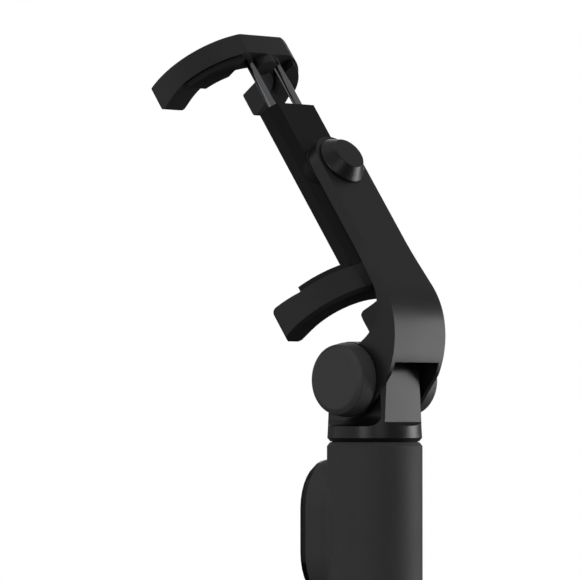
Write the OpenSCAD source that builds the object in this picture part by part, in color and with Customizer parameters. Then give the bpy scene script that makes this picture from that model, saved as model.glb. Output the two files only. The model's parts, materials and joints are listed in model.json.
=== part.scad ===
// Pocket selfie stick: a telescopic pole in a grip that opens into a tripod,
// a tilting C-shaped arm, a swivelling spring clamp and a remote docked in the grip.
// Origin: centre of the closed tripod's feet, on the surface it stands on.
// +Z runs up the pole, the hinge of the tilt arm lies along X, the remote faces -Y.

/* [Grip] */
// Outer radius of the grip and of the closed tripod legs
grip_r = 13.1; // [12.9:0.1:13.6]
// Height of the top of the grip above the feet
grip_top = 163; // [160:0.5:166]
// Height of the joint between grip housing and tripod hub
hub_top = 103.2; // [102:0.2:105]
// Radius of the bore inside the housing and the legs' outer walls
grip_bore_r = 11; // [10.8:0.1:11.2]

/* [Tripod] */
// Height of the leg hinge pins
pin_z = 98.5; // [98:0.1:99]
// Distance of the leg hinge pins from the pole's axis
pin_d = 10.6; // [10.5:0.1:10.7]
// Height of a rubber foot
foot_h = 6; // [5:0.5:7]
// Gap between two neighbouring legs
leg_gap = 0.3; // [0.2:0.05:0.4]

/* [Telescope] */
// Outer radii of the fixed tube and the three stages
tube_r = [7.5, 6.5, 5.4, 4.4];
// Inner radii of the same tubes
tube_bore = [6.95, 6.0, 4.95, 4.0];
// Lowest point of the fixed tube
tube_bottom = 35; // [34:1:40]
// Running clearance on a radius
fit = 0.05; // [0.03:0.01:0.08]

/* [Head] */
// Height of the tilt hinge above the feet
hinge_z = 180; // [180:0.5:182]
// Lean of the clamp forward from upright, in degrees
tilt = 35.66; // [0:0.5:60]
// Half-width of the tang between the arm's cheeks
tang_w = 8.1; // [7.9:0.1:8.2]
// Radius of the hinge bolt
bolt_r = 2; // [1.8:0.1:2.2]
// Outer face of a hinge knob
knob_face = 16.05; // [15:0.05:17]

/* [Arm] */
// Outer face of the arm, measured from the hinge
arm_back = 25.2; // [25:0.1:25.6]
// Inner face of the arm, measured from the hinge
arm_front = 21.6; // [21.4:0.1:21.8]
// Half-width of the straight part of the arm
arm_w = 8.65; // [8.4:0.05:9]
// Half-width of the arm across the hinge
cheek_w = 10.3; // [10.2:0.05:10.6]
// Distance of the swivel axis from the hinge
swivel_u = 56.3; // [55:0.1:58]

/* [Clamp] */
// Lower end of the clamp body
body_low = 24.8; // [24.5:0.1:25.5]
// Upper end of the clamp body
body_top = 80; // [79:0.5:81]
// Half-width of the clamp body
body_w = 9.2; // [9:0.1:9.4]
// Face of the rubber that the phone's back rests on
rest_n = 14.5; // [14.4:0.1:14.6]
// Back face of the clamp body and of the jaws
body_back = 20.8; // [20.6:0.1:20.9]
// Height of the lower jaw
jaw_h = 8.1; // [7:0.1:8.3]
// Height of the upper jaw
top_jaw_h = 6.5; // [6.3:0.1:7.5]
// Thickness of a jaw pad
pad_t = 1.8; // [1.4:0.1:1.9]
// Width of the phone that the clamp holds as drawn
phone_w = 69.2; // [62:0.2:80]
// Outer radius of the lower jaw's arc
jaw_r = 21.2; // [20.8:0.1:21.4]
// Outer radius of the upper jaw's arc
top_jaw_r = 22.7; // [22.2:0.1:23]
// Inner radius of the jaws' arcs, which clear the grip when folded
jaw_bore = 14.8; // [14.4:0.1:15]
// How far a jaw's tips reach forward of the hinge
tip_reach = 5.3; // [4.8:0.1:5.6]
// How far the lip at a jaw's tips rises
lip = 1.5; // [1.2:0.1:2]
// Sideways place of the guide rods, and their radius
rod_x = 5.5; // [5.4:0.1:5.6]
rod_r = 1.15; // [1:0.05:1.2]

/* [Remote] */
// Height of the remote's centre
remote_z = 138.7; // [138:0.1:139]
// Half-length of its straight sides
remote_l = 6; // [5.5:0.1:6.4]
// Height of each of its oval ends
remote_end = 12.4; // [12:0.1:12.6]
// Half-width of its face
remote_w = 8.75; // [8.6:0.05:9]
// Place of its face along -Y
remote_face_y = 20; // [19.9:0.1:20.3]
// Radius of its button
button_r = 5.15; // [4.5:0.05:5.4]

/* [Hidden] */
$fn = 96;

far = 60;                 // longer than any cut needs
legs = [90, 210, 330];    // directions in which the legs open
knuckle_w = 4.2;          // half-width of a leg's knuckle
knuckle_r = 2.5;          // its radius about the pin
lug_r = 2.2;              // radius of the hub's lugs about the pin
pin_r = 0.8;
leg_top = pin_z - 2.45;   // flat top of a leg beside its knuckle
leg_bore_r = 8.2;
screw_d = 9.6;            // hub screws' distance from the pole's axis
post_r = 3.9;             // head post's journal
parting = 0.3;            // chamfer where two parts of the grip meet
washer_t = 0.2;           // thrust washer between grip and head
ledge_z = grip_top + 4.3; // ledge on top of the cap ring
cheek_r = 10.4;           // arm's cheek about the hinge
cheek_in = 8.9;           // inner face of a cheek
web_r = 14.1;             // slot's radius about the hinge
bolt_head = cheek_w + 1.4; // inner faces of the tilt bolt's head and nut
arc_c = [1.27, 14];       // centre of the arm's outer arc: backward, upward
inner_c = [11, 16.5];     // centre of the arm's inner arc: backward, upward
inner_r = 10.6;
rod_n = 17.35;            // rods' place behind the hinge
cavity_back = 19.3;
cavity_front = 15.6;
bush_r = 1.7;             // rod bushes' outer radius
pad_n = 6.2;              // front edge of the jaw pads, under the phone's front
top_u = body_low + pad_t + phone_w + pad_t; // underside of the upper jaw
rod_low = 41;             // rods' lower end
bush_low = body_top - 6;  // rod bushes' lower end
grip_black = "#232425";
arm_black = "#2a2b2c";
rubber_black = "#161718";

// ---- helpers ----

// Children drawn in the clamp's own frame: Y backward, Z up along the clamp
module in_clamp() {
    translate([0, 0, hinge_z]) rotate([tilt, 0, 0]) children();
}

// A flat outline in (backward, up) swept sideways by a half-width
module across(half_width) {
    rotate([90, 0, 90])
        translate([0, 0, -half_width])
            linear_extrude(2 * half_width) children();
}

// Points of an arc from one direction to another
function arc(r, from, to, steps, centre = [0, 0]) =
    [for (i = [0:steps]) let (a = from + (to - from) * i / steps) centre + r * [cos(a), sin(a)]];

// A hollow cylinder
module ring(r_out, r_in, h) {
    difference() {
        cylinder(r = r_out, h = h);
        translate([0, 0, -1]) cylinder(r = r_in, h = h + 2);
    }
}

// Children repeated at both guide rods
module at_rods() {
    for (side = [-1, 1]) translate([side * rod_x, rod_n, 0]) children();
}

// ---- grip ----

// Outline of the remote's face, grown at its sides and at its ends: sideways, upward
function oval(grow, end_grow) = [
    for (half = [0, 1], i = [0:16])
        let (a = 180 * half + 11.25 * i)
        [(remote_w + grow) * cos(a), (1 - 2 * half) * remote_l + (remote_end + end_grow) * sin(a)]
];

// A prism of that outline between two depths along -Y
module oval_block(grow, near, depth) {
    translate([0, -near, remote_z]) rotate([90, 0, 0])
        linear_extrude(depth - near) polygon(oval(grow, grow));
}

// A solid through several outlines: depth along -Y, growth at the sides and at the ends
module oval_loft(stations) {
    count = len(oval(0, 0));
    last = (len(stations) - 1) * count;
    points = [for (s = stations, q = oval(s[1], s[2])) [q[0], -s[0], remote_z + q[1]]];
    skin = [
        for (s = [0:len(stations) - 2], i = [0:count - 1], half = [0, 1])
            let (k = s * count, m = (i + 1) % count)
            half == 0 ? [k + i, k + count + i, k + count + m] : [k + i, k + count + m, k + m]
    ];
    ends = [[for (i = [0:count - 1]) i], [for (i = [count - 1:-1:0]) last + i]];
    polyhedron(points, concat(skin, ends), convexity = 10);
}

// The dock from where it melts into the grip to its rim
dock_stations = concat(
    [[4.6, 3.55, 1.6]],
    [for (a = [75:-25:0]) [13.2 - 6 * sin(a), 1 + 3.37 * (1 - cos(a)), 1.3 + 0.3 * sin(a)]],
    [[15.2, 1, 1.3], [18.3, 0.8, 1], [18.65, 0.45, 0.6]]
);

module grip_housing() {
    color(grip_black) difference() {
        union() {
            rotate_extrude() polygon([
                [grip_bore_r, hub_top], [grip_r - parting, hub_top], [grip_r, hub_top + parting],
                [grip_r, grip_top - 1.06], [grip_r - 0.85, grip_top], [grip_bore_r, grip_top]
            ]);
            difference() {
                oval_loft(dock_stations);
                cylinder(r = grip_bore_r, h = far * 4);
            }
            difference() {
                oval_block(0.55, 8.7, 12.5);
                cylinder(r = 8.2, h = far * 4);
            }
            for (a = legs) rotate(a + 60)
                translate([screw_d, 0, hub_top + 4.2]) ring(2, 0.9, 6);
        }
        oval_block(-0.75, 10.2, 20);
    }
}

module top_collar() {
    color(grip_black) rotate_extrude() polygon([
        [tube_r[0] + fit, grip_top - 4.6], [grip_bore_r - fit, grip_top - 4.6],
        [grip_bore_r - fit, grip_top - 0.1], [tube_r[1] + fit, grip_top - 0.1],
        [tube_r[1] + fit, grip_top - 2], [tube_r[0] + fit, grip_top - 2]
    ]);
}

module outer_tube() {
    color("silver") translate([0, 0, tube_bottom])
        ring(tube_r[0], tube_bore[0], grip_top - 2 - tube_bottom);
}

module outer_tube_plug() {
    color(grip_black) rotate_extrude() polygon([
        [0, tube_bottom - 1.5], [tube_r[0] - 0.6, tube_bottom - 1.5], [tube_r[0], tube_bottom - 0.9],
        [tube_r[0], tube_bottom], [tube_bore[0], tube_bottom],
        [tube_bore[0], tube_bottom + 1.8], [0, tube_bottom + 1.8]
    ]);
}

// ---- tripod ----

// A third of the turn, narrowed by half the gap between the legs
module wedge(h) {
    apex = leg_gap / 2 / sin(60);
    linear_extrude(h)
        polygon([[apex, 0], [apex + far, far * tan(60)], [apex + far, -far * tan(60)]]);
}

// Children at each leg's hinge pin, which lies along local Y
module at_pins() {
    for (a = legs) rotate(a) translate([pin_d, 0, pin_z]) rotate([90, 0, 0]) children();
}

module tripod_hub() {
    hub_low = leg_top + 0.25;
    color(grip_black) difference() {
        rotate_extrude() polygon([
            [tube_r[0] + fit, hub_low], [grip_r - parting, hub_low], [grip_r, hub_low + parting],
            [grip_r, hub_top - parting], [grip_r - parting, hub_top], [grip_bore_r - fit, hub_top],
            [grip_bore_r - fit, hub_top + 4], [tube_r[0] + fit, hub_top + 4]
        ]);
        for (a = legs) rotate(a) translate([pin_d, 0, pin_z]) {
            rotate([90, 0, 0]) cylinder(r = knuckle_r + 0.25, h = 2 * knuckle_w + 0.5, center = true);
            translate([-knuckle_r - 0.25, -knuckle_w - 0.25, -9])
                cube([12, 2 * knuckle_w + 0.5, 9]);
            translate([0, -knuckle_w - 0.25, -9]) cube([12, 2 * knuckle_w + 0.5, 11]);
            difference() {
                translate([0, -9, -6]) cube([6, 18, 6]);
                rotate([90, 0, 0]) cylinder(r = lug_r, h = 20, center = true);
            }
            rotate([90, 0, 0]) cylinder(r = pin_r, h = 20, center = true);
        }
        for (a = legs) rotate(a + 60) translate([screw_d, 0, leg_top]) {
            cylinder(r = 1.8, h = 2);
            cylinder(r = 0.95, h = 20);
        }
    }
}

module hub_screws() {
    color("dimgray") for (a = legs) rotate(a + 60) translate([screw_d, 0, leg_top + 0.6]) {
        difference() {
            cylinder(r = 1.7, h = 1.4);
            translate([0, 0, -0.01]) cylinder(r = 0.7, h = 0.8, $fn = 6);
        }
        translate([0, 0, 1.4]) cylinder(r = 0.9, h = 10);
    }
}

module leg_hinge_pins() {
    color("silver") at_pins() cylinder(r = pin_r, h = 14.6, center = true);
}

module leg_shell(a) {
    pocket_h = 17.5;
    color(grip_black) rotate(a) difference() {
        union() {
            intersection() {
                wedge(leg_top);
                rotate_extrude() polygon([
                    [leg_bore_r, foot_h], [grip_r, foot_h], [grip_r, leg_top - parting],
                    [grip_r - parting, leg_top], [leg_bore_r, leg_top]
                ]);
            }
            intersection() {
                cylinder(r = grip_r - 0.2, h = pin_z + 5);
                translate([pin_d, 0, pin_z]) union() {
                    rotate([90, 0, 0]) cylinder(r = knuckle_r, h = 2 * knuckle_w, center = true);
                    translate([-knuckle_r + 0.1, -knuckle_w, -8]) cube([8, 2 * knuckle_w, 8]);
                }
            }
        }
        translate([pin_d, 0, pin_z]) rotate([90, 0, 0])
            cylinder(r = pin_r + fit, h = 20, center = true);
        for (k = [0:3]) translate([0, 0, 12 + k * (pocket_h + 2.2)]) intersection() {
            cylinder(r = grip_bore_r + 0.3, h = pocket_h);
            linear_extrude(pocket_h) polygon([[0, 0], [far, far * 1.1], [far, -far * 1.1]]);
        }
        translate([0, 0, foot_h - 0.01]) intersection() {
            ring(grip_bore_r + 0.1, 9.2, 3.3);
            linear_extrude(3.3) polygon([[0, 0], [far, far * 0.8], [far, -far * 0.8]]);
        }
    }
}

module leg_foot(a) {
    color(rubber_black) rotate(a) union() {
        intersection() {
            wedge(foot_h);
            rotate_extrude() polygon([
                [0, 0], [grip_r - 0.9, 0], [grip_r, 0.9], [grip_r, foot_h], [0, foot_h]
            ]);
        }
        translate([0, 0, foot_h]) intersection() {
            ring(grip_bore_r, 9.3, 3);
            linear_extrude(3) polygon([[0, 0], [far, far * 0.78], [far, -far * 0.78]]);
        }
    }
}

module leg_shell_1() { leg_shell(legs[0]); }
module leg_shell_2() { leg_shell(legs[1]); }
module leg_shell_3() { leg_shell(legs[2]); }
module leg_foot_1() { leg_foot(legs[0]); }
module leg_foot_2() { leg_foot(legs[1]); }
module leg_foot_3() { leg_foot(legs[2]); }

// ---- telescope ----

// Top of each tube, all below the head base
tube_top = [grip_top - 2, grip_top - 0.8, grip_top - 0.8, grip_top + 0.6];
// Lower end of each tube, above the plug and the bush of the one outside it
tube_low = [tube_bottom, tube_bottom + 2.5, tube_bottom + 3, tube_bottom + 3.5];

module stage_tube(i) {
    color("silver") translate([0, 0, tube_low[i]])
        ring(tube_r[i], tube_bore[i], tube_top[i] - tube_low[i]);
}

module stage_bush(i) {
    color("white") translate([0, 0, tube_low[i]])
        ring(tube_bore[i - 1] - fit, tube_r[i], 8);
}

module stage_collar(i) {
    color(grip_black) rotate_extrude() polygon([
        [tube_r[i + 1] + fit, tube_top[i] - 6], [tube_bore[i], tube_top[i] - 6],
        [tube_bore[i], tube_top[i]], [tube_r[i], tube_top[i]],
        [tube_r[i], tube_top[i] + 0.6], [tube_r[i + 1] + fit, tube_top[i] + 0.6]
    ]);
}

module stage_1_tube() { stage_tube(1); }
module stage_1_bush() { stage_bush(1); }
module stage_1_collar() { stage_collar(1); }
module stage_2_tube() { stage_tube(2); }
module stage_2_bush() { stage_bush(2); }
module stage_2_collar() { stage_collar(2); }
module stage_3_tube() { stage_tube(3); }
module stage_3_bush() { stage_bush(3); }

post_flange = tube_top[3] + 1.4;

module head_post() {
    color("silver") rotate_extrude() polygon([
        [0, grip_top - 13], [tube_bore[3], grip_top - 13], [tube_bore[3], tube_top[3]],
        [5.6, tube_top[3]], [5.6, post_flange], [post_r, post_flange],
        [post_r, post_flange + 3.4], [post_r - 0.7, post_flange + 3.4],
        [post_r - 0.7, post_flange + 5.2], [post_r, post_flange + 5.2],
        [post_r, post_flange + 6.6], [post_r - 0.4, post_flange + 7], [0, post_flange + 7]
    ]);
}

// ---- head ----

module thrust_washer() {
    color(rubber_black) translate([0, 0, grip_top]) ring(11.8, 7.3, washer_t);
}

module head_base() {
    fillet = 3;
    flat_y = 10.45;
    low = grip_top + washer_t;
    step_z = ledge_z + 1.2;
    color(arm_black) difference() {
        intersection() {
            rotate_extrude() polygon([
                [0, low], [grip_r - 0.9, low], [grip_r - 0.1, low + 0.95],
                [grip_r - 0.28, ledge_z], [grip_r - 1.1, hinge_z + 11], [0, hinge_z + 11]
            ]);
            // front view: the ring, the tang and the fillets between them
            rotate([90, 0, 0]) translate([0, 0, -far / 2]) linear_extrude(far) difference() {
                union() {
                    translate([-far / 2, 0]) square([far, ledge_z]);
                    translate([-tang_w - fillet, 0]) square([2 * (tang_w + fillet), ledge_z + fillet]);
                    translate([-tang_w, 0]) square([2 * tang_w, hinge_z + far]);
                }
                for (side = [-1, 1]) translate([side * (tang_w + fillet), ledge_z + fillet])
                    circle(r = fillet);
            }
            // side view: sloping shoulders, flats below the hinge and a round top about it
            across(far / 2) union() {
                polygon([
                    [-far, 0], [far, 0], [far, ledge_z], [grip_r, ledge_z], [flat_y, step_z],
                    [-flat_y, step_z], [-grip_r, ledge_z], [-far, ledge_z]
                ]);
                translate([-flat_y, 0]) square([2 * flat_y, hinge_z]);
                translate([0, hinge_z]) circle(r = flat_y);
            }
        }
        translate([0, 0, hinge_z]) rotate([0, 90, 0]) cylinder(r = bolt_r + fit, h = far, center = true);
        cylinder(r = 6.2, h = post_flange + fit);
        cylinder(r = 7.2, h = low + 0.7);
        cylinder(r = post_r + fit, h = post_flange + 7.3);
        translate([0, 0, post_flange + 4.3]) rotate([90, 0, 0]) cylinder(r = 1, h = far);
    }
}

module head_grub_screw() {
    color("dimgray") translate([0, 0, post_flange + 4.3]) rotate([90, 0, 0]) difference() {
        union() {
            translate([0, 0, post_r + 0.1]) cylinder(r = 1, h = 6.2);
            translate([0, 0, post_r - 0.6]) cylinder(r = 0.75, h = 0.8);
        }
        translate([0, 0, post_r + 5.2]) cylinder(r = 0.5, h = 2, $fn = 6);
    }
}

// ---- tilt arm ----

// Where the straight flank below the slot meets the outer arc: backward, up
flank_end = [12.3, -7.2];
arc_r = arm_back - arc_c[0];
// Direction of the flank's lower end, where it leaves the cheek as a tangent
cheek_start = atan2(flank_end[1], flank_end[0]) - acos(cheek_r / norm(flank_end));
// Direction where the cheek's top meets the foot of the inner arc
inner_foot = inner_c[1] - inner_r;
cheek_stop = asin(inner_foot / cheek_r);

// Side view of the arm without its slot: backward, up
module arm_outline() {
    flank_a = atan2(flank_end[1] - arc_c[1], flank_end[0] - arc_c[0]);
    polygon(concat(
        [[arm_front, far + 20], [arm_back, far + 20]],
        arc(arc_r, 0, flank_a, 24, arc_c),
        arc(cheek_r, cheek_start, cheek_stop - 360, 64),
        arc(inner_r, -90, 0, 18, inner_c)
    ));
}

// Half-width of the arm at a height above the hinge
function arm_half(u) =
    let (s = min(1, max(0, (30 - u) / 26)))
    arm_w + (cheek_w - arm_w) * (1 - cos(180 * s)) / 2;

module tilt_arm() {
    slope = [for (u = [4:2:30]) [arm_half(u), u]];
    edge = concat([[cheek_w, -20]], slope, arc(arm_w, 0, 180, 48, [0, swivel_u]));
    color(arm_black) in_clamp() difference() {
        intersection() {
            across(cheek_w) arm_outline();
            // back view: widening towards the hinge, round at the top
            rotate([90, 0, 0]) translate([0, 0, -far]) linear_extrude(2 * far)
                polygon(concat(edge, [for (i = [len(slope):-1:0]) [-edge[i][0], edge[i][1]]]));
        }
        across(cheek_in) union() {
            circle(r = web_r);
            polygon([[15.55, -5.38], [13.7, -4.1], [0, 0], [0, -20], [20, -20]]);
        }
        rotate([0, 90, 0]) cylinder(r = bolt_r, h = far, center = true);
        translate([0, 0, swivel_u]) rotate([-90, 0, 0]) cylinder(r = 1.5, h = far);
    }
}

// Profile of a hinge knob along X, hollow for the bolt's head or nut
module knob(side) {
    color(arm_black) in_clamp() rotate([0, side * 90, 0]) rotate_extrude() polygon([
        [4.6, cheek_w + 0.05], [10.2, cheek_w + 0.05], [10.2, cheek_w + 1.4],
        [9.5, knob_face - 0.85], [8.15, knob_face], [0, knob_face], [0, 14.7], [4.6, 14.7]
    ]);
}

module knob_left() { knob(-1); }
module knob_right() { knob(1); }

module tilt_bolt() {
    color("dimgray") in_clamp() rotate([0, 90, 0]) {
        translate([0, 0, -bolt_head - 2.2]) cylinder(r = bolt_r, h = 2 * bolt_head + 2.6);
        translate([0, 0, bolt_head]) cylinder(r = 3.9, h = 2.2, $fn = 6);
    }
}

module tilt_nut() {
    color("dimgray") in_clamp() rotate([0, -90, 0])
        translate([0, 0, bolt_head]) difference() {
            cylinder(r = 3.9, h = 1.9, $fn = 6);
            translate([0, 0, -1]) cylinder(r = bolt_r, h = 5);
        }
}

module spring_washers() {
    color("silver") in_clamp() for (side = [-1, 1]) rotate([0, side * 90, 0])
        translate([0, 0, cheek_w]) rotate_extrude() polygon([
            [bolt_r + 0.1, 0.8], [4.3, 0], [4.3, 0.6], [bolt_r + 0.1, 1.4]
        ]);
}

module friction_washers() {
    color("white") in_clamp() for (side = [-1, 1]) rotate([0, side * 90, 0])
        translate([0, 0, tang_w + 0.04]) ring(7.5, bolt_r + 0.02, cheek_in - tang_w - 0.04);
}

// ---- swivel ----

// Children on the swivel axis, with local Z backward
module on_swivel() {
    in_clamp() translate([0, 0, swivel_u]) rotate([-90, 0, 0]) children();
}

module swivel_cap() {
    color(arm_black) on_swivel() rotate_extrude() polygon([
        [3.4, arm_back], [7.4, arm_back], [7.4, arm_back + 0.5], [4.8, arm_back + 3.7],
        [0, arm_back + 3.7], [0, arm_back + 2.2], [3.4, arm_back + 2.2]
    ]);
}

module swivel_screw() {
    color("dimgray") on_swivel() {
        translate([0, 0, cavity_front + 0.3]) cylinder(r = 1.5, h = arm_back - cavity_front - 0.3);
        translate([0, 0, arm_back]) difference() {
            cylinder(r = 3, h = 1.8);
            translate([0, 0, 0.8]) cylinder(r = 1.2, h = 2, $fn = 6);
        }
    }
}

module swivel_nut() {
    color("dimgray") on_swivel() translate([0, 0, cavity_front + 0.4]) difference() {
        cylinder(r = 2.9, h = 1.9, $fn = 6);
        translate([0, 0, -1]) cylinder(r = 1.5, h = 5);
    }
}

module swivel_spring_washer() {
    color("silver") on_swivel() rotate_extrude() polygon([
        [1.6, cavity_back - 1.4], [2.1, cavity_back - 1.4], [2.9, cavity_back - 0.5],
        [2.9, cavity_back - 0.05], [2.5, cavity_back - 0.05], [1.6, cavity_back - 0.9]
    ]);
}

module swivel_disc() {
    color(rubber_black) on_swivel() translate([0, 0, body_back])
        ring(8.9, 1.6, arm_front - body_back - 0.05);
}

// ---- clamp ----

// Cross-section of the clamp body, which the lower jaw's root continues
body_section = [
    [body_w, rest_n + 0.2], [body_w, 18], [7.3, body_back],
    [-7.3, body_back], [-body_w, 18], [-body_w, rest_n + 0.2]
];

module clamp_body() {
    color(arm_black) in_clamp() difference() {
        union() {
            difference() {
                union() {
                    translate([0, 0, body_low]) linear_extrude(body_top - body_low)
                        polygon(body_section);
                    intersection() {
                        translate([0, 18, swivel_u]) rotate([-90, 0, 0])
                            cylinder(r = 9, h = body_back - 18);
                        translate([-body_w, 0, 0]) cube([2 * body_w, far, far * 2]);
                    }
                }
                // the cover's rebate and the springs' chamber
                translate([-7.75, rest_n - 1, body_low + 1.2])
                    cube([15.5, cavity_front - rest_n + 1, body_top - body_low - 2.4]);
                translate([0, 0, body_low + 2]) linear_extrude(bush_low - body_low - 2) polygon([
                    [7.7, rest_n], [7.7, 18], [6.7, cavity_back],
                    [-6.7, cavity_back], [-7.7, 18], [-7.7, rest_n]
                ]);
            }
            translate([-3.6, cavity_front, body_low + 1]) cube([7.2, cavity_back - cavity_front + 0.5, 6.6]);
            translate([0, cavity_front, body_top - 9]) rotate([-90, 0, 0])
                cylinder(r = 2, h = cavity_back - cavity_front + 0.5);
        }
        at_rods() translate([0, 0, bush_low - 1]) cylinder(r = bush_r, h = 20);
        for (side = [-1, 1]) translate([side * 2.4, 18, body_low - 1]) cylinder(r = 0.8, h = 7);
        for (u = [body_low + 4.8, body_top - 9]) translate([0, cavity_front - 1, u])
            rotate([-90, 0, 0]) cylinder(r = 0.7, h = 3.4);
        translate([0, 0, swivel_u]) rotate([-90, 0, 0]) cylinder(r = 1.55, h = far);
    }
}

module clamp_cover() {
    color(arm_black) in_clamp() difference() {
        translate([-7.7, rest_n + 0.4, body_low + 1.25])
            cube([15.4, cavity_front - rest_n - 0.4, body_top - body_low - 2.5]);
        for (u = [body_low + 4.8, body_top - 9]) translate([0, 0, u]) rotate([-90, 0, 0]) {
            cylinder(r = 0.75, h = far);
            cylinder(r = 1.5, h = cavity_front - 0.35);
        }
    }
}

module cover_screws() {
    color("dimgray") in_clamp() for (u = [body_low + 4.8, body_top - 9])
        translate([0, 0, u]) rotate([-90, 0, 0]) difference() {
            union() {
                translate([0, 0, rest_n + 0.5]) cylinder(r = 1.4, h = cavity_front - rest_n - 0.85);
                translate([0, 0, cavity_front - 0.4]) cylinder(r = 0.7, h = 2.8);
            }
            translate([0, 0, rest_n]) cylinder(r = 0.55, h = 0.8, $fn = 6);
        }
}

module back_pad() {
    color(rubber_black) in_clamp() translate([0, rest_n, 0])
        rotate([-90, 0, 0]) linear_extrude(0.4) union() {
            translate([-6, -66]) square([12, 30]);
            translate([0, -66]) circle(r = 6);
            translate([0, -36]) circle(r = 6);
        }
}

// ---- jaws ----

// Plan of a jaw seen along the clamp, with a flat back, inset from its edges by a margin
module jaw_plan(r, back, margin = 0) {
    outer = r - margin;
    inner = jaw_bore + margin;
    corner = 1.5 - margin;
    low = margin - tip_reach;
    turn = asin((low + corner) / (outer - corner));
    flat = asin(back / r);
    c = (outer - corner) * [cos(turn), sin(turn)];
    polygon(concat(
        arc(outer, 178 - turn, 180 - flat, 20), arc(outer, flat, turn + 2, 20),
        arc(corner, turn, -90, 8, c), [[inner + 0.8, low], [inner, low + 0.8]],
        arc(inner, 0, 180, 40), [[-inner, low + 0.8], [-inner - 0.8, low]],
        arc(corner, -90, -180 - turn, 8, [-c[0], c[1]])
    ));
}

// The two strips of a jaw that lie under a phone, clear of the clamp body
module pad_plan(r) {
    difference() {
        jaw_plan(r, body_back, 0.7);
        translate([-body_w - 0.6, 0]) square([2 * body_w + 1.2, far]);
        translate([-far, pad_n - far]) square([2 * far, far]);
    }
}

// Side view of a jaw whose face rises (1) or drops (-1) from a height to a rounded lip
module jaw_side(face, rise, other) {
    round_r = 2.2;
    low = lip - round_r;
    across(far) polygon(concat(
        [[-far, other], [far, other], [far, face], [pad_n, face]],
        [for (a = [0:25:75])
            [-tip_reach + round_r * (1 - sin(a)), face + rise * (low + round_r * cos(a))]],
        [[-tip_reach - 0.1, face + rise * (low - 0.2)], [-far, face + rise * (low - 0.2)]]
    ));
}

module lower_jaw() {
    low = body_low - jaw_h;
    color(arm_black) in_clamp() difference() {
        intersection() {
            translate([0, 0, low - 1]) linear_extrude(far) union() {
                jaw_plan(jaw_r, body_back - 0.1);
                polygon(body_section);
            }
            jaw_side(body_low, 1, low - 2);
            // bevel round the lower edge
            rotate_extrude() polygon([
                [0, low], [jaw_r - 0.9, low], [jaw_r + 1, low + 1.9],
                [jaw_r + 1, body_low + far], [0, body_low + far]
            ]);
        }
        for (side = [-1, 1]) translate([side * 2.4, 18, low]) {
            cylinder(r = 0.85, h = far);
            translate([0, 0, -1]) cylinder(r = 1.5, h = 3.6);
        }
    }
}

module lower_jaw_pads() {
    color(rubber_black) in_clamp() translate([0, 0, body_low])
        linear_extrude(pad_t) pad_plan(jaw_r);
}

module lower_jaw_screws() {
    color("dimgray") in_clamp() for (side = [-1, 1])
        translate([side * 2.4, 18, body_low - jaw_h + 1]) difference() {
            union() {
                cylinder(r = 1.4, h = 1.6);
                cylinder(r = 0.8, h = 12);
            }
            translate([0, 0, -0.01]) cylinder(r = 0.55, h = 0.9, $fn = 6);
        }
}

module rod_bushes() {
    color("white") in_clamp() at_rods() translate([0, 0, bush_low])
        ring(bush_r, rod_r + fit, body_top - bush_low - 0.3);
}

// A coil spring as one closed tube swept along a helix
module coil(r, wire, low, high, turns) {
    steps = 12;
    sides = 5;
    count = steps * turns;
    points = [
        for (i = [0:count], k = [0:sides - 1])
            let (a = 360 * i / steps, c = 360 * k / sides, q = r + wire * cos(c))
            [q * cos(a), q * sin(a), low + (high - low) * i / count + wire * sin(c)]
    ];
    skin = [
        for (i = [0:count - 1], k = [0:sides - 1])
            let (m = (k + 1) % sides)
            [i * sides + k, i * sides + m, (i + 1) * sides + m, (i + 1) * sides + k]
    ];
    ends = [
        [for (k = [sides - 1:-1:0]) k],
        [for (k = [0:sides - 1]) count * sides + k]
    ];
    polyhedron(points, concat(skin, ends), convexity = 10);
}

module jaw_springs() {
    color("silver") in_clamp() at_rods()
        coil(1.45, 0.17, rod_low + 2.3, bush_low - 0.3, 8);
}

module guide_rods() {
    color("white") in_clamp() at_rods() difference() {
        translate([0, 0, rod_low]) cylinder(r = rod_r, h = top_u + 4.1 - rod_low);
        translate([0, 0, top_u + 1]) cylinder(r = 0.7, h = 10);
    }
}

module rod_stops() {
    color("dimgray") in_clamp() at_rods() translate([0, 0, rod_low]) ring(1.65, rod_r, 2);
}

module upper_jaw() {
    color(arm_black) in_clamp() difference() {
        union() {
            intersection() {
                translate([0, 0, top_u - 4]) linear_extrude(far) jaw_plan(top_jaw_r, body_back + 0.35);
                jaw_side(top_u, -1, top_u + top_jaw_h);
            }
            translate([0, rod_n + 0.45, top_u - 2.5]) cylinder(r = 3.2, h = 3);
        }
        at_rods() {
            translate([0, 0, top_u - 1]) cylinder(r = rod_r, h = 5.1);
            translate([0, 0, top_u + 4]) cylinder(r = 0.75, h = 10);
            translate([0, 0, top_u + top_jaw_h - 1.6]) cylinder(r = 1.7, h = 3);
        }
    }
}

module upper_jaw_pads() {
    color(rubber_black) in_clamp() translate([0, 0, top_u - pad_t])
        linear_extrude(pad_t) pad_plan(top_jaw_r);
}

module rod_screws() {
    color("dimgray") in_clamp() at_rods() translate([0, 0, top_u]) difference() {
        union() {
            translate([0, 0, 1.1]) cylinder(r = 0.7, h = 5);
            translate([0, 0, top_jaw_h - 1.5]) cylinder(r = 1.6, h = 1.3);
        }
        translate([0, 0, top_jaw_h - 1]) cylinder(r = 0.6, h = 2, $fn = 6);
    }
}

// ---- remote ----

module remote_shell() {
    color(grip_black) difference() {
        oval_block(-0.85, 10.35, 19.2);
        oval_block(-1.85, 11.4, 20);
        translate([-4.1, -16.9, remote_z - 20]) cube([8.2, 2.9, 8]);
    }
}

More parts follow.
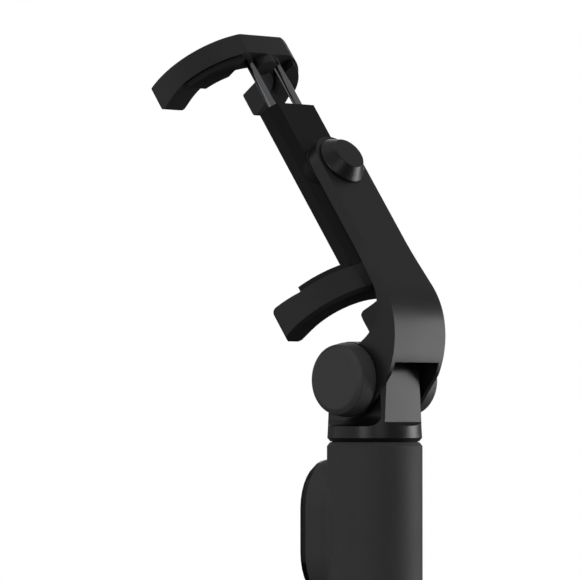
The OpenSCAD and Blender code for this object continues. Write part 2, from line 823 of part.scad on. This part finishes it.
module remote_face() {
    color("black") difference() {
        oval_loft([[19.2, 0, 0], [remote_face_y - 0.25, 0, 0], [remote_face_y, -0.25, -0.25]]);
        translate([0, 0, remote_z + 8]) rotate([90, 0, 0]) cylinder(r = button_r + 0.1, h = far);
    }
}

module remote_board() {
    color("darkgreen") oval_block(-2.05, 16.1, 16.9);
}

module remote_battery() {
    color("silver") translate([-5.2, -15.8, remote_z - 9]) cube([10.4, 4.2, 18]);
}

module remote_switch() {
    color("silver") translate([0, -16.9, remote_z + 8]) rotate([90, 0, 0]) {
        cylinder(r = 2.2, h = 0.4);
        cylinder(r = 1.2, h = 0.9);
    }
}

module remote_port() {
    color("silver") translate([-3.75, -16.1, remote_z - 15.5]) difference() {
        cube([7.5, 2, 5.5]);
        translate([0.4, 0.4, -1]) cube([6.7, 1.2, 5.5]);
    }
}

module remote_button() {
    color("#303234") translate([0, 0, remote_z + 8]) rotate([90, 0, 0]) rotate_extrude() polygon([
        [0, 18.45], [5.7, 18.45], [5.7, 19.1], [button_r, 19.1],
        [button_r, remote_face_y + 0.05], [button_r - 0.25, remote_face_y + 0.3],
        [0, remote_face_y + 0.3]
    ]);
}

grip_housing();
top_collar();
outer_tube();
outer_tube_plug();
tripod_hub();
hub_screws();
leg_hinge_pins();
leg_shell_1();
leg_shell_2();
leg_shell_3();
leg_foot_1();
leg_foot_2();
leg_foot_3();
stage_1_tube();
stage_1_bush();
stage_1_collar();
stage_2_tube();
stage_2_bush();
stage_2_collar();
stage_3_tube();
stage_3_bush();
head_post();
thrust_washer();
head_base();
head_grub_screw();
tilt_arm();
tilt_bolt();
tilt_nut();
knob_left();
knob_right();
friction_washers();
spring_washers();
swivel_cap();
swivel_screw();
swivel_nut();
swivel_spring_washer();
clamp_body();
clamp_cover();
cover_screws();
back_pad();
swivel_disc();
lower_jaw();
lower_jaw_pads();
lower_jaw_screws();
rod_bushes();
jaw_springs();
upper_jaw();
upper_jaw_pads();
guide_rods();
rod_stops();
rod_screws();
remote_shell();
remote_face();
remote_board();
remote_battery();
remote_switch();
remote_port();
remote_button();
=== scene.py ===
"""Looks of the pocket selfie stick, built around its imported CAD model. All lengths are in metres."""

import json
import math

import bpy
from mathutils import Matrix, Vector


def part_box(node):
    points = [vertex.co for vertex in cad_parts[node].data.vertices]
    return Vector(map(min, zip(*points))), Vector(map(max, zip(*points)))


MM = 0.001

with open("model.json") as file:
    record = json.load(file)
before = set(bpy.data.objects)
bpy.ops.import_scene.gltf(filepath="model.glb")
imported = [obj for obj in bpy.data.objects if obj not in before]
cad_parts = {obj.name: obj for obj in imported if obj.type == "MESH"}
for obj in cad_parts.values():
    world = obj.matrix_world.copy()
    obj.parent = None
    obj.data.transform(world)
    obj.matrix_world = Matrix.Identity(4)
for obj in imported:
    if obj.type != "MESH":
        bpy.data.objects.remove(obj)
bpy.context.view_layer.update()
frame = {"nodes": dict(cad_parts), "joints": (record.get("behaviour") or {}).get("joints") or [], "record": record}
nodes = frame["nodes"]
joints = {j["name"]: j for j in frame["joints"]}
slot_of = {s["node"]: s["material_slot"] for s in frame["record"]["subparts"]}
bpy.context.scene.view_settings.view_transform = "Standard"


# ---------------------------------------------------------------- camera

# The camera stands behind the stick to its right, level with the top of the grip,
# and looks slightly up. Places are measured from the tilt hinge.
HINGE = Vector(joints["tilt"]["pos_m"])
VIEW_ANGLE = math.radians(43.38)
VIEW_DISTANCE = 1338 * MM
VIEW_SIDE = 23.2 * MM
EYE_BELOW_HINGE = 12.1 * MM
LOOK_UP = math.radians(1.574)
LENS = 303.1


def add_camera():
    outward = Vector((math.cos(VIEW_ANGLE), math.sin(VIEW_ANGLE), 0))
    right = Vector((-math.sin(VIEW_ANGLE), math.cos(VIEW_ANGLE), 0))
    eye = Vector((0, 0, HINGE.z - EYE_BELOW_HINGE)) + outward * VIEW_DISTANCE - right * VIEW_SIDE
    look = -outward * math.cos(LOOK_UP) + Vector((0, 0, math.sin(LOOK_UP)))
    data = bpy.data.cameras.new("camera")
    data.sensor_width = 36
    data.lens = LENS
    data.clip_end = 50
    camera = bpy.data.objects.new("camera", data)
    camera.matrix_world = Matrix.Translation(eye) @ look.to_track_quat("-Z", "Y").to_matrix().to_4x4()
    bpy.context.scene.collection.objects.link(camera)
    bpy.context.scene.camera = camera


add_camera()


# ---------------------------------------------------------------- materials


def new_material(name):
    material = bpy.data.materials.new(name)
    material.use_nodes = True
    tree = material.node_tree
    return material, tree, tree.nodes["Principled BSDF"]


def noise(tree, scale, detail=2.0, rough=0.5, stretch=(1, 1, 1)):
    coords = tree.nodes.new("ShaderNodeTexCoord")
    mapping = tree.nodes.new("ShaderNodeMapping")
    mapping.inputs["Scale"].default_value = stretch
    texture = tree.nodes.new("ShaderNodeTexNoise")
    texture.inputs["Scale"].default_value = scale
    texture.inputs["Detail"].default_value = detail
    texture.inputs["Roughness"].default_value = rough
    tree.links.new(coords.outputs["Object"], mapping.inputs["Vector"])
    tree.links.new(mapping.outputs["Vector"], texture.inputs["Vector"])
    return texture.outputs["Fac"]


def cells(tree, scale):
    coords = tree.nodes.new("ShaderNodeTexCoord")
    texture = tree.nodes.new("ShaderNodeTexVoronoi")
    texture.inputs["Scale"].default_value = scale
    tree.links.new(coords.outputs["Object"], texture.inputs["Vector"])
    return texture.outputs["Distance"]


def remap(tree, value, low, high, source_low=0.3, source_high=0.7):
    node = tree.nodes.new("ShaderNodeMapRange")
    node.inputs["From Min"].default_value = source_low
    node.inputs["From Max"].default_value = source_high
    node.inputs["To Min"].default_value = low
    node.inputs["To Max"].default_value = high
    tree.links.new(value, node.inputs["Value"])
    return node.outputs["Result"]


def combine(tree, operation, a, b):
    node = tree.nodes.new("ShaderNodeMath")
    node.operation = operation
    tree.links.new(a, node.inputs[0])
    tree.links.new(b, node.inputs[1])
    return node.outputs[0]


def mix_colour(tree, factor, a, b):
    node = tree.nodes.new("ShaderNodeMix")
    node.data_type = "RGBA"
    node.inputs["A"].default_value = (*a, 1)
    node.inputs["B"].default_value = (*b, 1)
    tree.links.new(factor, node.inputs["Factor"])
    return node.outputs["Result"]


def bump(tree, shader, height, strength, distance):
    node = tree.nodes.new("ShaderNodeBump")
    node.inputs["Strength"].default_value = strength
    node.inputs["Distance"].default_value = distance
    tree.links.new(height, node.inputs["Height"])
    tree.links.new(node.outputs["Normal"], shader.inputs["Normal"])


def moulded(name, colour, rough, grain=2600, depth=0.006 * MM, mottling=0.12, gloss=0.5):
    """Moulded plastic or rubber: a fine eroded grain, faint mottling and uneven gloss."""
    material, tree, shader = new_material(name)
    cloud = noise(tree, 70, 5.0, 0.6)
    speck = noise(tree, grain * 0.45, 3.0, 0.7)
    lighter = tuple(c * (1 + 2 * mottling) for c in colour)
    tone = combine(tree, "MULTIPLY", remap(tree, cloud, 0.2, 1), remap(tree, speck, 0.3, 1))
    tree.links.new(mix_colour(tree, tone, colour, lighter), shader.inputs["Base Color"])
    tree.links.new(remap(tree, cloud, rough - 0.03, rough + 0.04), shader.inputs["Roughness"])
    shader.inputs["Specular IOR Level"].default_value = gloss
    height = combine(tree, "ADD", noise(tree, grain, 3.0, 0.65), cells(tree, grain * 0.7))
    bump(tree, shader, height, 0.5, depth)
    return material


def add_rim(material, start, colour, rough):
    """Gives a moulded material another colour and gloss further than start in front of the pole."""
    edge_width = 0.03 * MM
    tree = material.node_tree
    shader = tree.nodes["Principled BSDF"]
    coords = tree.nodes.new("ShaderNodeTexCoord")
    split = tree.nodes.new("ShaderNodeSeparateXYZ")
    tree.links.new(coords.outputs["Object"], split.inputs["Vector"])
    mask = remap(tree, split.outputs["Y"], 1, 0, -start - edge_width, -start)
    for socket, rim in (("Base Color", colour), ("Roughness", (rough, rough, rough))):
        blend = tree.nodes.new("ShaderNodeMix")
        blend.data_type = "RGBA"
        blend.inputs["B"].default_value = (*rim, 1)
        tree.links.new(mask, blend.inputs["Factor"])
        tree.links.new(shader.inputs[socket].links[0].from_socket, blend.inputs["A"])
        tree.links.new(blend.outputs["Result"], shader.inputs[socket])
    return material


def metal(name, colour, rough, scratch, stretch, depth):
    """Metal with a drawn or tumbled surface: long fine scratches and a faint tarnish."""
    material, tree, shader = new_material(name)
    lines = noise(tree, scratch, 4.0, 0.6, stretch)
    haze = noise(tree, 60, 4.0)
    darker = tuple(c * 0.86 for c in colour)
    tree.links.new(mix_colour(tree, remap(tree, haze, 0, 1), darker, colour), shader.inputs["Base Color"])
    tree.links.new(remap(tree, lines, rough * 0.75, rough * 1.25), shader.inputs["Roughness"])
    shader.inputs["Metallic"].default_value = 1.0
    bump(tree, shader, lines, 0.4, depth)
    return material


def grip_plastic(name):
    return moulded(name, (0.062, 0.0625, 0.0640), 0.62, depth=0.004 * MM, gloss=0.22)


GLOSSY_BLACK = (0.002, 0.002, 0.0023)
# The rim of the remote's seat begins this far in front of the pole's axis
RIM_START = -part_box("remote_shell")[0][1] - 2.2 * MM

# One material for each slot of the record
MATERIALS = {
    "grip_plastic": grip_plastic("grip_plastic"),
    "head_plastic": moulded("head_plastic", (0.0066, 0.0066, 0.0069), 0.34),
    "rubber": moulded("rubber", (0.011, 0.011, 0.0115), 0.78, grain=1500, depth=0.02 * MM, gloss=0.35),
    "aluminium": metal("aluminium", (0.60, 0.61, 0.63), 0.3, 900, (1, 1, 0.03), 0.003 * MM),
    "chrome": metal("chrome", (0.27, 0.275, 0.285), 0.12, 700, (1, 1, 0.08), 0.0015 * MM),
    "steel": metal("steel", (0.40, 0.41, 0.43), 0.36, 1200, (1, 1, 1), 0.006 * MM),
    "bearing_plastic": moulded("bearing_plastic", (0.66, 0.66, 0.64), 0.42, mottling=0.03),
    "gloss_black": moulded("gloss_black", GLOSSY_BLACK, 0.07, grain=500, depth=0.001 * MM, gloss=0.2),
    "circuit_board": moulded("circuit_board", (0.015, 0.085, 0.04), 0.3, grain=700, mottling=0.5),
}

# The clamp and its jaws are duller than the arm, and the clamp body's darker colour is painted shade from the
# phone that it holds, which is not modelled; the knobs are greyer, and the seat of the remote has a glossy black
# rim
FINISHES = {
    # Painted shade: the clamp's plastic is darker than the jaws' to stand in for the shade of the phone it holds
    "painted_shade_clamp_plastic": moulded("painted_shade_clamp_plastic", (0.0046, 0.0046, 0.0048), 0.5, grain=2200, gloss=0.22),
    "jaw_plastic": moulded("jaw_plastic", (0.0160, 0.0160, 0.0165), 0.46, grain=2200, gloss=0.45),
    "rimmed_grip": add_rim(grip_plastic("rimmed_grip"), RIM_START, GLOSSY_BLACK, 0.15),
    "knob_plastic": moulded("knob_plastic", (0.072, 0.072, 0.073), 0.5, gloss=0.25),
}
FINISH_OF = {
    # The clamp body and its cover carry the painted shade of the phone
    "clamp_body": "painted_shade_clamp_plastic", "clamp_cover": "painted_shade_clamp_plastic",
    "lower_jaw": "jaw_plastic", "upper_jaw": "jaw_plastic",
    "knob_left": "knob_plastic", "knob_right": "knob_plastic",
    "grip_housing": "rimmed_grip",
}

for name, obj in nodes.items():
    material = FINISHES[FINISH_OF[name]] if name in FINISH_OF else MATERIALS[slot_of[name]]
    obj.data.materials.clear()
    obj.data.materials.append(material)


# ---------------------------------------------------------------- edges


def soften(obj, width, segments=3, angle=32):
    """Rounds a CAD node's sharp edges, the way a mould does.

    The triangles of each flat face are joined first, so that only true edges are rounded.
    """
    weld = obj.modifiers.new("weld", "WELD")
    weld.merge_threshold = 0.002 * MM
    flat = obj.modifiers.new("flat", "DECIMATE")
    flat.decimate_type = "DISSOLVE"
    flat.angle_limit = math.radians(0.6)
    edge = obj.modifiers.new("edge", "BEVEL")
    edge.width = width
    edge.segments = segments
    edge.limit_method = "ANGLE"
    edge.angle_limit = math.radians(angle)
    edge.miter_outer = "MITER_ARC"
    edge.use_clamp_overlap = True
    for polygon in obj.data.polygons:
        polygon.use_smooth = True
    normals = obj.modifiers.new("normals", "WEIGHTED_NORMAL")
    normals.keep_sharp = False
    normals.weight = 80


# Width of the rounded edges in millimetres, and the nodes that have them
SOFT_EDGES = {
    0.5: ["lower_jaw", "upper_jaw"],
    0.35: ["tilt_arm", "clamp_body", "leg_foot_1", "leg_foot_2", "leg_foot_3"],
    0.3: ["head_base", "knob_left", "knob_right", "swivel_cap", "lower_jaw_pads", "upper_jaw_pads"],
    0.2: ["grip_housing", "tripod_hub", "leg_shell_1", "leg_shell_2", "leg_shell_3", "remote_button"],
    0.12: ["clamp_cover", "back_pad", "swivel_disc", "remote_face", "remote_shell", "outer_tube",
           "stage_1_tube", "stage_2_tube", "stage_3_tube", "stage_1_collar", "stage_2_collar",
           "guide_rods", "cover_screws", "lower_jaw_screws", "rod_screws", "hub_screws", "outer_tube_plug"],
}
for width, names in SOFT_EDGES.items():
    for name in names:
        soften(nodes[name], width * MM)


# ---------------------------------------------------------------- studio

LIT_POINT = Vector((0, 0, 200 * MM))
FLOOR_RADIUS = 1.6
# The floor's own light rises between these distances from the stick
GLOW_FROM, GLOW_TO = 0.2, 1.3

# Name, azimuth and elevation in degrees, distance, size and radiance
LAMPS = [
    ("key", 150, -4, 0.5, (0.24, 0.34), 4.9),
    ("front", -45, 8, 1.0, (1.3, 0.9), 0.34),
    ("side", 15, 2, 0.9, (0.34, 0.5), 2.0),
    ("fill", 55, 6, 2.2, (0.8, 1.0), 0.88),
    ("top", 20, 84, 1.2, (0.55, 0.55), 0.8),
    ("back", 222, 18, 1.6, (0.9, 0.9), 0.9),
]


def add_stage():
    """A pale floor that melts into the white behind it."""
    bpy.ops.mesh.primitive_circle_add(vertices=96, radius=FLOOR_RADIUS, fill_type="NGON", location=(0, 0, 0))
    floor = bpy.context.object
    floor.name = "floor"
    material, tree, shader = new_material("floor")
    shader.inputs["Base Color"].default_value = (0.34, 0.34, 0.34, 1)
    shader.inputs["Roughness"].default_value = 0.7
    shader.inputs["Emission Color"].default_value = (1, 1, 1, 1)
    coords = tree.nodes.new("ShaderNodeTexCoord")
    reach = tree.nodes.new("ShaderNodeVectorMath")
    reach.operation = "LENGTH"
    tree.links.new(coords.outputs["Object"], reach.inputs[0])
    glow = remap(tree, reach.outputs["Value"], 0.7, 1.0, GLOW_FROM, GLOW_TO)
    tree.links.new(glow, shader.inputs["Emission Strength"])
    floor.data.materials.append(material)
    floor.visible_diffuse = False
    floor.visible_glossy = False


def softbox(name, azimuth, elevation, distance, size, radiance):
    """A rectangular lamp that looks at the upper part of the stick from a direction in degrees."""
    a, e = math.radians(azimuth), math.radians(elevation)
    outward = Vector((math.cos(a) * math.cos(e), math.sin(a) * math.cos(e), math.sin(e)))
    data = bpy.data.lights.new(name, "AREA")
    data.shape = "RECTANGLE"
    data.size, data.size_y = size
    data.energy = radiance * math.pi * size[0] * size[1]
    lamp = bpy.data.objects.new(name, data)
    lamp.location = LIT_POINT + outward * distance
    lamp.rotation_euler = (-outward).to_track_quat("-Z", "Y").to_euler()
    lamp.visible_camera = False
    bpy.context.scene.collection.objects.link(lamp)


def add_surroundings():
    """White behind the object, and a dim room that is brighter above in its reflections."""
    world = bpy.data.worlds.new("studio")
    world.use_nodes = True
    tree = world.node_tree
    room = tree.nodes["Background"]
    room.inputs["Color"].default_value = (1, 1, 1, 1)
    backdrop = tree.nodes.new("ShaderNodeBackground")
    backdrop.inputs["Color"].default_value = (1, 1, 1, 1)
    backdrop.inputs["Strength"].default_value = 1.0
    coords = tree.nodes.new("ShaderNodeTexCoord")
    split = tree.nodes.new("ShaderNodeSeparateXYZ")
    tree.links.new(coords.outputs["Generated"], split.inputs["Vector"])
    height = remap(tree, split.outputs["Z"], 0.05, 0.32, -0.35, 0.75)
    tree.links.new(height, room.inputs["Strength"])
    path = tree.nodes.new("ShaderNodeLightPath")
    mix = tree.nodes.new("ShaderNodeMixShader")
    tree.links.new(path.outputs["Is Camera Ray"], mix.inputs["Fac"])
    tree.links.new(room.outputs["Background"], mix.inputs[1])
    tree.links.new(backdrop.outputs["Background"], mix.inputs[2])
    tree.links.new(mix.outputs["Shader"], tree.nodes["World Output"].inputs["Surface"])
    bpy.context.scene.world = world


add_stage()
add_surroundings()
for lamp in LAMPS:
    softbox(*lamp)
